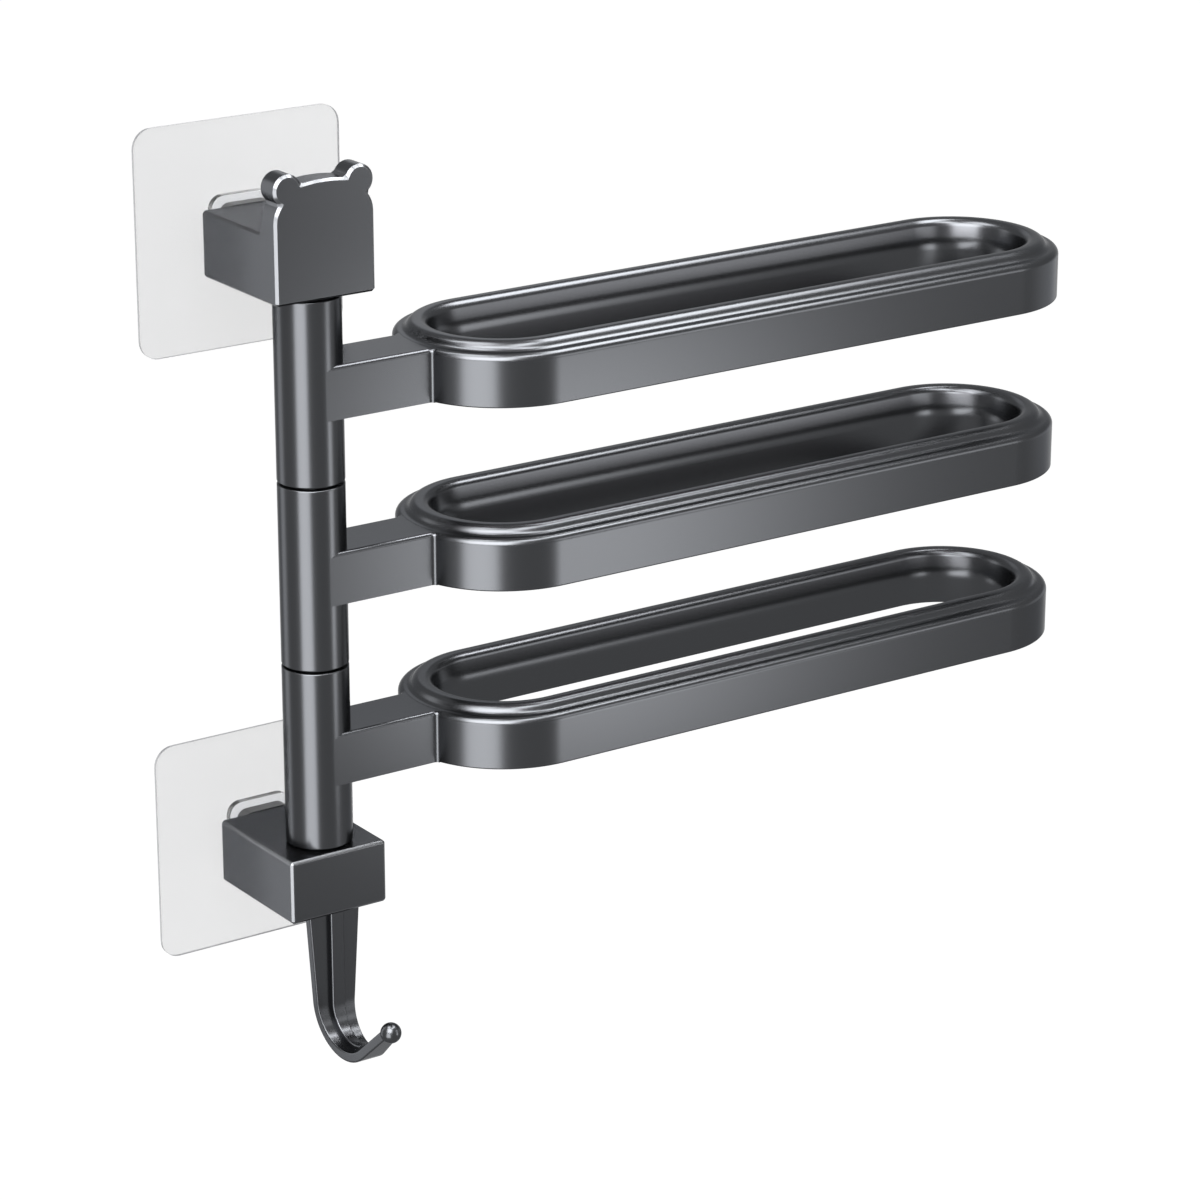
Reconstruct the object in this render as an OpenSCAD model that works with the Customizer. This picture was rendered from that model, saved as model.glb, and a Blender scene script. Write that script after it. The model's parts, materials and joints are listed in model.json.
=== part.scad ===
// Wall rack with three towel loops that swing on one upright post.
// Origin: centre of the upper pad's back, on the wall. X runs along the wall, Y into it and Z up.
// Distances called "from the wall" are measured towards the room, along -Y.

/* [Arms] */
// Outside diameter of each sleeve on the post
sleeve_d = 23.4; // [20:0.2:25]
// Wall of each sleeve
sleeve_wall = 2.6; // [2:0.1:3.2]
// Height of each sleeve
sleeve_h = 64.7; // [50:0.1:90]
// Distance from the post's axis to the near end of a loop
arm_neck = 39.7; // [32:0.1:60]
// Length of a loop
ring_l = 277.6; // [200:0.2:340]
// Width of a loop
ring_w = 75.7; // [62:0.1:80]
// Height of a loop's outer face, and of the neck
rim_h = 18.8; // [14:0.2:24]
// Width of a loop's rim
rim_w = 12.2; // [9:0.1:15]
// Width of the low ledge round the outside of the rim
ledge_w = 3.4; // [2.2:0.1:4.2]
// Height of the rounded lip above the ledge
lip_h = 3.2; // [1.5:0.1:3.6]
// Wall left round the hollow underside of the arm
rim_wall = 2.4; // [1.8:0.1:3]
// Rounding of the outer top edge
edge_r = 1.5; // [0.5:0.1:1.8]
// Rounding of the lip's inner edge
inner_r = 1.1; // [0.4:0.1:1.2]
// Rounding of the rim's lower edges
foot_r = 0.6; // [0.2:0.1:1]
// Fillet in the corner where the neck meets the loop
corner_fillet = 1.6; // [0.5:0.1:3]

/* [Post] */
// Distance of the post's axis from the wall
post_d = 44.9; // [44:0.1:60]
// Diameter of the steel shaft inside the sleeves
shaft_d = 8; // [6:0.5:9]
// How far the shaft goes into each bracket
shaft_seat = 17; // [10:0.5:18]
// Length of a bush in a sleeve's end
bush_l = 10; // [6:0.5:20]
// Radial clearance of a bush on the shaft
bush_gap = 0.05; // [0.02:0.01:0.1]
// Radial clearance of a washer on the shaft
washer_gap = 0.2; // [0.1:0.05:0.4]
// Thickness of a thrust washer
washer_t = 0.8; // [0.5:0.1:2]
// How far a washer's edge lies inside the sleeve's face
washer_inset = 2.7; // [1:0.1:4]
// Clearance above and below each washer
end_gap = 0.05; // [0.02:0.01:0.2]
// Radial clearance of a piece that is pressed in
press_gap = 0.02; // [0:0.01:0.05]

/* [Brackets] */
// Width of both brackets
bracket_w = 38.4; // [36:0.2:50]
// Height of both brackets
bracket_h = 23.2; // [22:0.2:30]
// How far the brackets reach past the post's axis
front_reach = 13.1; // [12.8:0.1:18]
// Wall round the hollow back of a bracket
bracket_wall = 2.6; // [2:0.1:3.2]
// Solid left behind the shaft
boss_wall = 4; // [3:0.5:6]
// Rounding of a bracket's edges
bracket_r = 1; // [0.4:0.1:1.6]

/* [Front plate] */
// Thickness of the upper bracket's front plate
plate_t = 9.6; // [6:0.2:12]
// Height of the front plate, from the bracket's underside to the top of its arc
plate_h = 41; // [38:0.2:48]
// Diameter of an ear
ear_d = 10.8; // [9:0.2:12]
// How far an ear's centre lies below the top of the arc
ear_drop = 2.3; // [1:0.1:4]
// Radius of the plate's shoulders
shoulder_r = 9.5; // [7:0.5:11]
// How far the shoulders' centres lie below the top of the arc
shoulder_drop = 13.2; // [11:0.2:15]
// Radius of the arc between the ears
crown_r = 54; // [40:1:120]
// Fillet between the bracket's top and the plate's back
plate_fillet = 3; // [1:0.2:5]

/* [Pads] */
// Side of a square pad
pad_w = 80; // [60:1:100]
// Corner radius of a pad
pad_corner = 7; // [3:0.5:12]
// Thickness of the adhesive layer
adhesive_t = 0.5; // [0.3:0.1:1]
// Thickness of the film pad
film_t = 0.7; // [0.4:0.1:1.5]

/* [Hangers] */
// Width of a hanger plate
hanger_w = 25; // [22:0.5:30]
// Height of a hanger plate
hanger_h = 28.4; // [26:0.2:34]
// Corner radius of a hanger plate
hanger_corner = 5; // [2:0.5:8]
// Thickness of a hanger plate
hanger_t = 2.7; // [2:0.1:4]
// Width of the rail's narrow stem
stem_w = 7; // [5:0.5:8]
// Depth of the rail's narrow stem
stem_t = 2.6; // [2:0.1:3]
// Width of the rail's head
rail_w = 12; // [10:0.5:13]
// Clearance between a hanger plate and the socket in front of it
slide_gap = 0.4; // [0.2:0.1:1]
// Clearance round the rail in its slot
rail_gap = 0.25; // [0.1:0.05:0.4]

/* [Sockets] */
// Width of the block that stands behind a bracket
socket_w = 20; // [18:0.5:22]
// Corner radius of the block's top
socket_corner = 4; // [1:0.5:6]
// How far the block stands behind the bracket
socket_t = 4.6; // [4.2:0.1:8]
// Thickness of the plug that closes the bracket's back
plug_t = 5; // [4:0.5:8]
// Clearance round the plug
plug_gap = 0.1; // [0.05:0.05:0.3]
// Height of the stop above the slot
slot_cap = 4; // [3:0.5:6]

/* [Screws] */
// Thread diameter of a socket screw
socket_screw_d = 2.5; // [2:0.5:3]
// Thread diameter of the shaft screw
shaft_screw_d = 4; // [3:0.5:4]
// Clearance round a screw's shank in the piece that it holds
screw_gap = 0.2; // [0.1:0.05:0.4]

/* [Hook] */
// Thickness of the hook's strap
hook_t = 3.5; // [2.5:0.1:4]
// Solid between the shaft's bore and the hook's slot
hook_web = 1.85; // [1.2:0.05:2.2]
// Width of the strap where it leaves the bracket
hook_top_w = 20.3; // [17:0.1:24]
// Width of the strap at the start of its bend
hook_bend_w = 15.6; // [12:0.1:18]
// Width of the strap at its lowest point
hook_low_w = 11; // [8:0.1:12]
// Width of the strap's end
hook_end_w = 5.6; // [4:0.1:7]
// Width of the tang inside the bracket
tang_w = 16; // [12:0.5:20]
// How far the tang goes into the bracket
tang_l = 14; // [8:0.5:18]
// Length of the straight strap below the bracket
hook_drop = 34.6; // [25:0.2:50]
// Radius of the bend, at the middle of the strap
hook_r = 14.8; // [12:0.1:20]
// Slope of the hook's end above the level
hook_slope = 43; // [30:1:60]
// Length of the straight end, up to the ball's centre
hook_end_l = 17.8; // [12:0.2:24]
// Diameter of the ball
ball_d = 7.4; // [6:0.2:10]
// Width of the rib on the strap
rib_w = 5.3; // [4:0.1:8]
// How far the rib stands out
rib_t = 2; // [1:0.1:3]
// How far past the lowest point the rib runs, in degrees
rib_end = 25; // [5:1:40]

/* [Hidden] */
$fn = 96;

// Overlap that joins two shapes of one piece, what a cut runs past a face, and the gap of two
// pieces that rest on each other
eps = 0.01;
past = 1;
rest_gap = 0.05;

// Colours
gunmetal = "#5c5d5f";
clear_film = "#e4e4e6";
clear_plate = "#eef0f2";
dark_moulding = "#3c3d3e";
steel = "#b8b9bd";
nylon = "#2a2a2c";

// Heights along the post
seam = washer_t + 2 * end_gap;
stack_h = 3 * sleeve_h + 4 * seam;
pad_pitch = stack_h + bracket_h;
stack_top = -bracket_h / 2;
stack_bottom = stack_top - stack_h;
sleeve_foot = [for (i = [0 : 2]) stack_top - (i + 1) * (sleeve_h + seam)];

// Distances from the wall
film_front = adhesive_t + film_t;
hanger_front = film_front + hanger_t;
socket_back = hanger_front + slide_gap;
bracket_back = socket_back + socket_t;
bracket_front = post_d + front_reach;
cavity_end = post_d - shaft_d / 2 - boss_wall;
hook_back = post_d + shaft_d / 2 + hook_web;

// Sleeves, bushes and the shaft
sleeve_r = sleeve_d / 2;
sleeve_bore_r = sleeve_r - sleeve_wall;
shaft_r = shaft_d / 2;
bush_bore_r = shaft_r + bush_gap;
sleeve_chamfer = 0.5;

// A loop's ends
ring_r = ring_w / 2;
near_end = arm_neck + ring_r;
far_end = arm_neck + ring_l - ring_r;
ring_foot = (sleeve_h - rim_h) / 2;

// Sockets
cavity_w = bracket_w - 2 * bracket_wall;
cavity_h = bracket_h - 2 * bracket_wall;
plug_w = cavity_w - 2 * plug_gap;
plug_h = cavity_h - 2 * plug_gap;
screw_x = (socket_w + plug_w) / 4;
slot_top = bracket_h / 2 - slot_cap;
slot_step = hanger_front + stem_t - rail_gap;
slot_front = bracket_back - rest_gap;
rail_front = slot_front - rail_gap;
rail_foot = -bracket_h / 2 + 1.5;
boss_d = 2.8 * socket_screw_d;

// Countersunk screws: a head is this many times as wide as its shank, with a cone of 90 degrees
head_ratio = 1.9;
socket_screw_l = plug_t + 3.5 * socket_screw_d;
shaft_screw_l = bracket_h - shaft_seat + 2 * shaft_screw_d;

// The top of the front plate
plate_top = stack_top + plate_h;
ear_x = bracket_w / 2 - ear_d / 2;

// The hook
hook_mid = hook_back + hook_t / 2;
bend_z = -hook_drop;
bend_d = hook_mid + hook_r;
tang_gap = 0.05;

// A rectangle with round corners, centred
module round_rect(w, h, r) {
    square([w - 2 * r, h], center = true);
    square([w, h - 2 * r], center = true);
    for (sx = [-1, 1], sy = [-1, 1])
        translate([sx * (w / 2 - r), sy * (h / 2 - r)]) circle(r);
}

// What a rounding of radius r takes off a corner at the origin, whose solid lies towards sx, sy
module corner_cut(r, sx, sy) {
    difference() {
        translate([min(0, sx * r) - (sx > 0 ? past : 0), min(0, sy * r) - (sy > 0 ? past : 0)])
            square([r + past, r + past]);
        translate([sx * r, sy * r]) circle(r);
    }
}

// Turns an outline drawn in X and Z into a solid that runs from y0 back to y1 from the wall
module from_wall(y0, y1) {
    translate([0, -y0, 0]) rotate([90, 0, 0]) linear_extrude(height = y1 - y0) children();
}

// Turns an outline drawn in distance from the wall and Z into a solid of width w across X
module across(w) {
    rotate([90, 0, -90]) linear_extrude(height = w, center = true) children();
}

// A countersunk screw with its head's face at the origin, pointing along +Z
module countersunk(d, l) {
    head_r = head_ratio * d / 2;
    cylinder(h = head_r - d / 2, r1 = head_r, r2 = d / 2);
    cylinder(h = l, r = d / 2);
}

// The hole for such a screw, through a wall of thickness t
module countersunk_hole(d, t) {
    head_r = head_ratio * d / 2;
    translate([0, 0, -past]) cylinder(h = past + eps, r = head_r + press_gap);
    cylinder(h = head_r - d / 2, r1 = head_r + press_gap, r2 = d / 2 + press_gap);
    cylinder(h = t + past, r = d / 2 + screw_gap);
}

module adhesive() {
    color(clear_film, 0.5)
        from_wall(0, adhesive_t) round_rect(pad_w, pad_w, pad_corner);
}

module film_pad() {
    color(clear_film, 0.6)
        from_wall(adhesive_t, film_front) round_rect(pad_w, pad_w, pad_corner);
}

module hanger() {
    rail_h = slot_top - rest_gap - rail_foot;
    color(clear_plate, 0.6) {
        from_wall(film_front, hanger_front) round_rect(hanger_w, hanger_h, hanger_corner);
        translate([-stem_w / 2, -hanger_front - stem_t - eps, rail_foot])
            cube([stem_w, stem_t + 2 * eps, rail_h]);
        translate([-rail_w / 2, -rail_front, rail_foot])
            cube([rail_w, rail_front - hanger_front - stem_t, rail_h]);
    }
}

// The slot that the rail slides in, open downwards
module rail_slot() {
    slot_h = slot_top + bracket_h / 2 + past;
    slot_foot = -bracket_h / 2 - past;
    translate([-stem_w / 2 - rail_gap, -slot_step - eps, slot_foot])
        cube([stem_w + 2 * rail_gap, slot_step - socket_back + past, slot_h]);
    translate([-rail_w / 2 - rail_gap, -slot_front, slot_foot])
        cube([rail_w + 2 * rail_gap, slot_front - slot_step, slot_h]);
}

module socket() {
    color(dark_moulding) difference() {
        union() {
            from_wall(socket_back, bracket_back + eps) difference() {
                square([socket_w, bracket_h], center = true);
                for (s = [-1, 1]) translate([s * socket_w / 2, bracket_h / 2])
                    corner_cut(socket_corner, -s, -1);
            }
            from_wall(bracket_back, bracket_back + plug_t) square([plug_w, plug_h], center = true);
        }
        rail_slot();
        for (s = [-1, 1]) translate([s * screw_x, -bracket_back, 0]) rotate([90, 0, 0])
            countersunk_hole(socket_screw_d, plug_t);
    }
}

// A bracket's outline from the side, in distance from the wall and Z
module bracket_side() {
    difference() {
        translate([bracket_back, -bracket_h / 2])
            square([bracket_front - bracket_back, bracket_h]);
        translate([bracket_front, bracket_h / 2]) corner_cut(bracket_r, -1, -1);
        translate([bracket_front, -bracket_h / 2]) corner_cut(bracket_r, -1, 1);
    }
}

// The upper bracket's outline from the side, with its front plate
module plate_side() {
    plate_back = bracket_front - plate_t;
    plate_rise = plate_top + ear_d;
    bracket_side();
    translate([plate_back, -bracket_h / 2 + bracket_r])
        square([plate_t, plate_rise + bracket_h / 2 - bracket_r]);
    difference() {
        translate([plate_back - plate_fillet, bracket_h / 2 - eps])
            square([plate_fillet + eps, plate_fillet + eps]);
        translate([plate_back - plate_fillet, bracket_h / 2 + plate_fillet]) circle(plate_fillet);
    }
}

// A bracket's outline from above, in X and distance from the wall
module bracket_plan() {
    difference() {
        translate([-bracket_w / 2, bracket_back])
            square([bracket_w, bracket_front - bracket_back]);
        for (s = [-1, 1]) translate([s * bracket_w / 2, bracket_front])
            corner_cut(bracket_r, -s, -1);
        for (s = [-1, 1]) translate([s * bracket_w / 2, bracket_back])
            corner_cut(bracket_r, -s, 1);
    }
}

// The front plate's outline from the front: a rounded square with two round ears
module plate_front() {
    shoulder_x = bracket_w / 2 - shoulder_r;
    shoulder_z = plate_top - shoulder_drop;
    foot_z = -bracket_h / 2 + bracket_r;
    translate([-bracket_w / 2 + bracket_r, -bracket_h / 2])
        square([bracket_w - 2 * bracket_r, bracket_r + eps]);
    for (s = [-1, 1]) {
        translate([s * (bracket_w / 2 - bracket_r), foot_z]) circle(bracket_r);
        translate([s * shoulder_x, shoulder_z]) circle(shoulder_r);
        translate([s * ear_x, plate_top - ear_drop]) circle(ear_d / 2);
    }
    translate([-bracket_w / 2, foot_z]) square([bracket_w, shoulder_z - foot_z]);
    intersection() {
        translate([0, plate_top - crown_r]) circle(crown_r, $fn = 360);
        translate([-ear_x, shoulder_z - eps]) square([2 * ear_x, shoulder_drop + past]);
    }
}

// The hollow in a bracket's back, with the two bosses that the socket is screwed to
module bracket_hollow() {
    difference() {
        translate([-cavity_w / 2, -cavity_end, -cavity_h / 2])
            cube([cavity_w, cavity_end - bracket_back + past, cavity_h]);
        for (s = [-1, 1]) translate([s * screw_x, -bracket_back - plug_t, 0]) rotate([90, 0, 0])
            cylinder(h = cavity_end, d = boss_d);
    }
}

// The holes that the socket's screws cut their thread in
module boss_holes() {
    for (s = [-1, 1]) translate([s * screw_x, -bracket_back - plug_t + past, 0]) rotate([90, 0, 0])
        cylinder(h = socket_screw_l - plug_t + 3 * past, r = socket_screw_d / 2 + press_gap);
}

module upper_bracket() {
    color(gunmetal) difference() {
        intersection() {
            across(bracket_w + 2 * past) plate_side();
            from_wall(bracket_back - past, bracket_front + past) plate_front();
            mirror([0, 1, 0]) translate([0, 0, stack_top - past])
                linear_extrude(height = plate_h + ear_d + 2 * past) bracket_plan();
        }
        bracket_hollow();
        boss_holes();
        translate([0, -post_d, stack_top - past])
            cylinder(h = shaft_seat + past, r = shaft_r + press_gap);
    }
}

module lower_bracket() {
    color(gunmetal) difference() {
        intersection() {
            across(bracket_w + 2 * past) bracket_side();
            from_wall(bracket_back - past, bracket_front + past)
                round_rect(bracket_w, bracket_h, bracket_r);
            mirror([0, 1, 0]) translate([0, 0, -bracket_h / 2 - past])
                linear_extrude(height = bracket_h + 2 * past) bracket_plan();
        }
        bracket_hollow();
        boss_holes();
        translate([0, -post_d, bracket_h / 2 - shaft_seat])
            cylinder(h = shaft_seat + past, r = shaft_r + press_gap);
        translate([0, -post_d, -bracket_h / 2])
            countersunk_hole(shaft_screw_d, bracket_h - shaft_seat);
        translate([-tang_w / 2 - tang_gap, -hook_back - hook_t - tang_gap, -bracket_h / 2 - past])
            cube([tang_w + 2 * tang_gap, hook_t + 2 * tang_gap, tang_l + tang_gap + past]);
    }
}

// The shaft, drawn from the lower bracket's seat up to the upper one's
module post_shaft() {
    shaft_l = stack_h + 2 * shaft_seat;
    color(steel) translate([0, -post_d, stack_bottom - shaft_seat]) difference() {
        cylinder(h = shaft_l, r = shaft_r);
        translate([0, 0, -past])
            cylinder(h = shaft_screw_l, r = shaft_screw_d / 2 + press_gap);
    }
}

module shaft_screw() {
    color(steel) translate([0, -post_d, -pad_pitch - bracket_h / 2])
        countersunk(shaft_screw_d, shaft_screw_l);
}

// Two screws behind each bracket, all alike
module socket_screws() {
    color(steel) for (z = [0, -pad_pitch], s = [-1, 1])
        translate([s * screw_x, -bracket_back, z]) rotate([90, 0, 0])
            countersunk(socket_screw_d, socket_screw_l);
}

// The rim's section: x is the distance from the middle of the loop's round end, y the height
module rim_section() {
    lip_x = ring_r - ledge_w;
    inner_x = ring_r - rim_w;
    difference() {
        union() {
            translate([inner_x, 0]) square([rim_w, rim_h]);
            translate([inner_x, rim_h - eps]) square([lip_x - lip_h - inner_x, lip_h + eps]);
            intersection() {
                translate([lip_x - lip_h, rim_h]) circle(lip_h);
                translate([lip_x - lip_h, rim_h - eps]) square([lip_h + eps, lip_h + past]);
            }
        }
        translate([ring_r, rim_h]) corner_cut(edge_r, -1, -1);
        translate([inner_x, rim_h + lip_h]) corner_cut(inner_r, 1, -1);
        translate([ring_r, 0]) corner_cut(foot_r, -1, 1);
        translate([inner_x, 0]) corner_cut(foot_r, 1, 1);
    }
}

// The hollow under the rim
module rim_hollow() {
    translate([ring_r - rim_w + rim_wall, -past])
        square([rim_w - 2 * rim_wall, rim_h - rim_wall + past]);
}

// Sweeps a section round a loop: two straights and two half turns
module round_loop() {
    translate([near_end, 0, 0]) rotate([90, 0, 90])
        linear_extrude(height = far_end - near_end) children();
    translate([far_end, 0, 0]) rotate([90, 0, -90])
        linear_extrude(height = far_end - near_end) children();
    translate([far_end, 0, 0]) rotate([0, 0, -90]) rotate_extrude(angle = 180) children();
    translate([near_end, 0, 0]) rotate([0, 0, 90]) rotate_extrude(angle = 180) children();
}

// The fillet between the neck's side and the loop, on the side where y is s
module neck_fillet(s) {
    reach = ring_r + corner_fillet;
    centre_y = sleeve_r + corner_fillet;
    centre_x = near_end - sqrt(reach * reach - centre_y * centre_y);
    meet_x = near_end - sqrt(ring_r * ring_r - sleeve_r * sleeve_r);
    touch = [
        near_end + (centre_x - near_end) * ring_r / reach,
        s * centre_y * ring_r / reach
    ];
    linear_extrude(height = rim_h) difference() {
        polygon([
            [centre_x, s * (sleeve_r - past)],
            [centre_x, s * sleeve_r],
            touch,
            [touch[0] + past, touch[1]],
            [meet_x + 2 * past, s * (sleeve_r - past)]
        ]);
        translate([centre_x, s * centre_y]) circle(corner_fillet);
    }
}

// The neck's section across the arm, with rounded top edges
module neck_section() {
    difference() {
        translate([-sleeve_r, 0]) square([sleeve_d, rim_h]);
        for (s = [-1, 1]) translate([s * sleeve_r, rim_h]) corner_cut(edge_r, -s, -1);
        for (s = [-1, 1]) translate([s * sleeve_r, 0]) corner_cut(foot_r, -s, 1);
    }
}

// A sleeve with chamfered ends
module sleeve() {
    rotate_extrude() polygon([
        [0, 0],
        [sleeve_r - sleeve_chamfer, 0],
        [sleeve_r, sleeve_chamfer],
        [sleeve_r, sleeve_h - sleeve_chamfer],
        [sleeve_r - sleeve_chamfer, sleeve_h],
        [0, sleeve_h]
    ]);
}

// One arm, with its sleeve's foot at height 0 and the post's axis on Z
module arm() {
    pocket_w = sleeve_d - 2 * rim_wall;
    color(gunmetal) difference() {
        union() {
            sleeve();
            translate([0, 0, ring_foot]) {
                round_loop() rim_section();
                rotate([90, 0, 90]) linear_extrude(height = arm_neck + rim_w / 2) neck_section();
                for (s = [-1, 1]) neck_fillet(s);
            }
        }
        translate([0, 0, -past]) cylinder(h = sleeve_h + 2 * past, r = sleeve_bore_r);
        translate([0, 0, ring_foot]) {
            round_loop() rim_hollow();
            difference() {
                translate([0, -pocket_w / 2, -past])
                    cube([near_end, pocket_w, rim_h - rim_wall + past]);
                translate([0, 0, -2 * past]) cylinder(h = rim_h + 2 * past, r = sleeve_r + rim_wall);
                translate([near_end, 0, -2 * past]) cylinder(h = rim_h + 2 * past, r = ring_r);
            }
        }
    }
}

module place_arm(i) {
    translate([0, -post_d, sleeve_foot[i]]) children();
}

// One bush, with its foot at height 0
module bush() {
    color(nylon) difference() {
        cylinder(h = bush_l, r = sleeve_bore_r - press_gap);
        translate([0, 0, -past]) cylinder(h = bush_l + 2 * past, r = bush_bore_r);
    }
}

module upper_bush(i) {
    place_arm(i) translate([0, 0, sleeve_h - bush_l]) bush();
}

module lower_bush(i) {
    place_arm(i) bush();
}

// The washer number i, counted from the top
module washer(i) {
    color(nylon)
        translate([0, -post_d, stack_top - end_gap - washer_t - i * (sleeve_h + seam)])
            difference() {
                cylinder(h = washer_t, r = sleeve_r - washer_inset);
                translate([0, 0, -past])
                    cylinder(h = washer_t + 2 * past, r = shaft_r + washer_gap);
            }
}

// A strip of thickness t along the hook's path, its inner face off from the strap's middle
module hook_strip(inner, outer, top, end_angle, end_l) {
    translate([hook_mid - outer, bend_z]) square([outer + inner, top - bend_z]);
    intersection() {
        translate([bend_d, bend_z]) difference() {
            circle(hook_r + outer, $fn = 180);
            circle(hook_r - inner, $fn = 180);
        }
        translate([bend_d, bend_z]) polygon([
            [0, 0],
            [-2 * hook_r, 0],
            [-2 * hook_r, -2 * hook_r],
            [2 * hook_r * sin(end_angle), -2 * hook_r],
            [2 * hook_r * sin(end_angle), -2 * hook_r * cos(end_angle)]
        ]);
    }
    if (end_l > 0)
        translate([bend_d, bend_z]) rotate(end_angle) translate([-eps, -hook_r - outer])
            square([end_l + eps, outer + inner]);
}

// The hook, drawn with the bracket's underside at height 0
module hook_body() {
    strap_end = bend_d + hook_r * sin(hook_slope) + hook_end_l * cos(hook_slope);
    strap_rise = bend_z - hook_r * cos(hook_slope) + hook_end_l * sin(hook_slope);
    intersection() {
        across(2 * hook_top_w)
            hook_strip(hook_t / 2, hook_t / 2, tang_l, hook_slope, hook_end_l);
        from_wall(0, 2 * strap_end) polygon([
            [-tang_w / 2, tang_l + past],
            [-tang_w / 2, 0],
            [-hook_top_w / 2, 0],
            [-hook_bend_w / 2, bend_z],
            [-hook_low_w / 2, bend_z - hook_r],
            [-hook_low_w / 2, bend_z - hook_r - hook_t],
            [hook_low_w / 2, bend_z - hook_r - hook_t],
            [hook_low_w / 2, bend_z - hook_r],
            [hook_bend_w / 2, bend_z],
            [hook_top_w / 2, 0],
            [tang_w / 2, 0],
            [tang_w / 2, tang_l + past]
        ]);
        mirror([0, 1, 0]) translate([0, 0, 2 * bend_z - hook_r]) linear_extrude(height = 6 * hook_drop)
            polygon([
                [-hook_top_w, 0],
                [-hook_top_w, hook_mid + hook_t],
                [-hook_bend_w / 2, hook_mid + hook_t],
                [-hook_low_w / 2, bend_d],
                [-hook_end_w / 2, strap_end],
                [hook_end_w / 2, strap_end],
                [hook_low_w / 2, bend_d],
                [hook_bend_w / 2, hook_mid + hook_t],
                [hook_top_w, hook_mid + hook_t],
                [hook_top_w, 0]
            ]);
    }
    across(rib_w) hook_strip(hook_t / 2 + rib_t, 0, 0, rib_end, 0);
    translate([0, -strap_end, strap_rise]) sphere(d = ball_d);
}

module hook() {
    color(gunmetal) translate([0, 0, -pad_pitch - bracket_h / 2]) hook_body();
}

module on_lower() {
    translate([0, 0, -pad_pitch]) children();
}

adhesive();  // upper_adhesive
film_pad();  // upper_pad
hanger();  // upper_hanger
socket();  // upper_socket
upper_bracket();
on_lower() adhesive();  // lower_adhesive
on_lower() film_pad();  // lower_pad
on_lower() hanger();  // lower_hanger
on_lower() socket();  // lower_socket
on_lower() lower_bracket();
socket_screws();
post_shaft();
shaft_screw();
hook();
place_arm(0) arm();  // top_arm
place_arm(1) arm();  // middle_arm
place_arm(2) arm();  // bottom_arm
upper_bush(0);  // top_arm_upper_bush
lower_bush(0);  // top_arm_lower_bush
upper_bush(1);  // middle_arm_upper_bush
lower_bush(1);  // middle_arm_lower_bush
upper_bush(2);  // bottom_arm_upper_bush
lower_bush(2);  // bottom_arm_lower_bush
washer(0);  // first_washer
washer(1);  // second_washer
washer(2);  // third_washer
washer(3);  // fourth_washer
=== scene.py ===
import bmesh
import bpy
import json
import math
from mathutils import Matrix, Vector


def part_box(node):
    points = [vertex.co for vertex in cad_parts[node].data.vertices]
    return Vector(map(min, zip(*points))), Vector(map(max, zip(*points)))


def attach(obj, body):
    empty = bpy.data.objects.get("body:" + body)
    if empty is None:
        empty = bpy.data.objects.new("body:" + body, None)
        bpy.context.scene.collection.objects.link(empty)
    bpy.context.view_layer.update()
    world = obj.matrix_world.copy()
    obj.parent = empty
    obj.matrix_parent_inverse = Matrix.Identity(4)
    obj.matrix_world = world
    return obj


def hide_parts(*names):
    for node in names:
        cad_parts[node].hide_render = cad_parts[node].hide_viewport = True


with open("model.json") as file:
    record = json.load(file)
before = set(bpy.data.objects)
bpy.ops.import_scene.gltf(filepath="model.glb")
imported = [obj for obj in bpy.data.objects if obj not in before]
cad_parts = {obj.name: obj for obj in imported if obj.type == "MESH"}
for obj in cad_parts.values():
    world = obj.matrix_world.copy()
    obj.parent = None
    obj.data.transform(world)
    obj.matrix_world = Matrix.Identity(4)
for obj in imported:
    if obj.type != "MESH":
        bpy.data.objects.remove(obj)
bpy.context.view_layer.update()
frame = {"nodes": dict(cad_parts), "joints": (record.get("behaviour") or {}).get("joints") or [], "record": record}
mm = 0.001
tiny = 0.002 * mm  # corners closer than this are one corner
sharpTurn = 35  # degrees past which an edge counts as sharp
print("stage: frame loaded")

# What the frame says about the rack
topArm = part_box("top_arm")
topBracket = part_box("upper_bracket")
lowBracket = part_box("lower_bracket")
joints = {joint["name"]: joint for joint in frame["joints"]}
postX, postY = joints["top_swing"]["pos_m"][:2]
armDrop = joints["top_swing"]["pos_m"][2] - joints["middle_swing"]["pos_m"][2]
sleeveRadius = postX - topArm[0].x
loopRadius = (topArm[1].y - topArm[0].y) / 2
farX = topArm[1].x - loopRadius


# Small helpers for working by hand in edit mode
def deselectAll():
    bpy.ops.object.select_all(action="DESELECT")


def makeActive(piece):
    deselectAll()
    piece.select_set(True)
    bpy.context.view_layer.objects.active = piece


def startEditing(piece):
    makeActive(piece)
    bpy.ops.object.mode_set(mode="EDIT")
    bpy.ops.mesh.select_all(action="SELECT")


def stopEditing():
    bpy.ops.object.mode_set(mode="OBJECT")


def pushAlong(step):
    bpy.ops.mesh.extrude_region_move(TRANSFORM_OT_translate={"value": step})


def turnRound(centre, axis, degrees, steps):
    # spin counts its angle the other way round the axis
    bpy.ops.mesh.spin(steps=steps, angle=-math.radians(degrees), center=centre, axis=axis)


def applyModifier(piece, kind, **settings):
    makeActive(piece)
    modifier = piece.modifiers.new(kind.title(), kind)
    for name, value in settings.items():
        setattr(modifier, name, value)
    bpy.ops.object.modifier_apply(modifier=modifier.name)


def cutAway(piece, cutter):
    applyModifier(piece, "BOOLEAN", operation="DIFFERENCE", object=cutter, solver="EXACT")
    bpy.data.objects.remove(cutter)


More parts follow.
